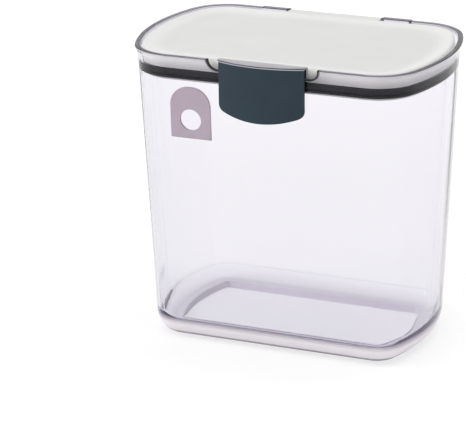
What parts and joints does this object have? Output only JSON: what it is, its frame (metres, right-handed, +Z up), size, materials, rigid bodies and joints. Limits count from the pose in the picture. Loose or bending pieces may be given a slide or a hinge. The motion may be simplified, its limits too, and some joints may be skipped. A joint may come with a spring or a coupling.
{
  "type": "flip-lid storage bin",
  "caption": "Clear drafted bin with a flared rim, a dished flip lid on hinge pins, a two-lip seal, a front swing latch and a frosted plate inside.",
  "frame": {"origin": "centre of the whole part's footprint, on the table under the foot", "axes": "+X across the bin to its right, -Y towards the latch, +Y towards the hinge, +Z up"},
  "size_m": [0.2052, 0.1424, 0.1962],
  "materials": {
    "clear_wall": "clear, glossy",
    "frosted": "frosted",
    "lid_white": "soft gloss",
    "liner_white": "soft gloss",
    "seal_rubber": "matte",
    "latch_clear": "clear, glossy",
    "latch_teal": "satin",
    "pin_steel": "drawn"
  },
  "bodies": {
    "container": {"container_body": "clear_wall", "frosted_plate": "frosted", "hinge_pin_left": "pin_steel", "hinge_pin_right": "pin_steel"},
    "lid": {"lid_panel": "lid_white", "lid_liner": "liner_white", "lid_seal": "seal_rubber", "latch_pin": "pin_steel"},
    "latch": {"latch_frame": "latch_clear", "latch_cover": "latch_teal"}
  },
  "joints": [
    {"name": "lid_hinge", "type": "hinge", "parent": "container", "child": "lid", "pos_m": [0, 0.06799, 0.191], "axis": [-1, 0, 0], "range_deg": [0, 110]},
    {"name": "latch_hinge", "type": "hinge", "parent": "lid", "child": "latch", "pos_m": [0, -0.06364, 0.1926], "axis": [-1, 0, 0], "range_deg": [0, 70]}
  ]
}
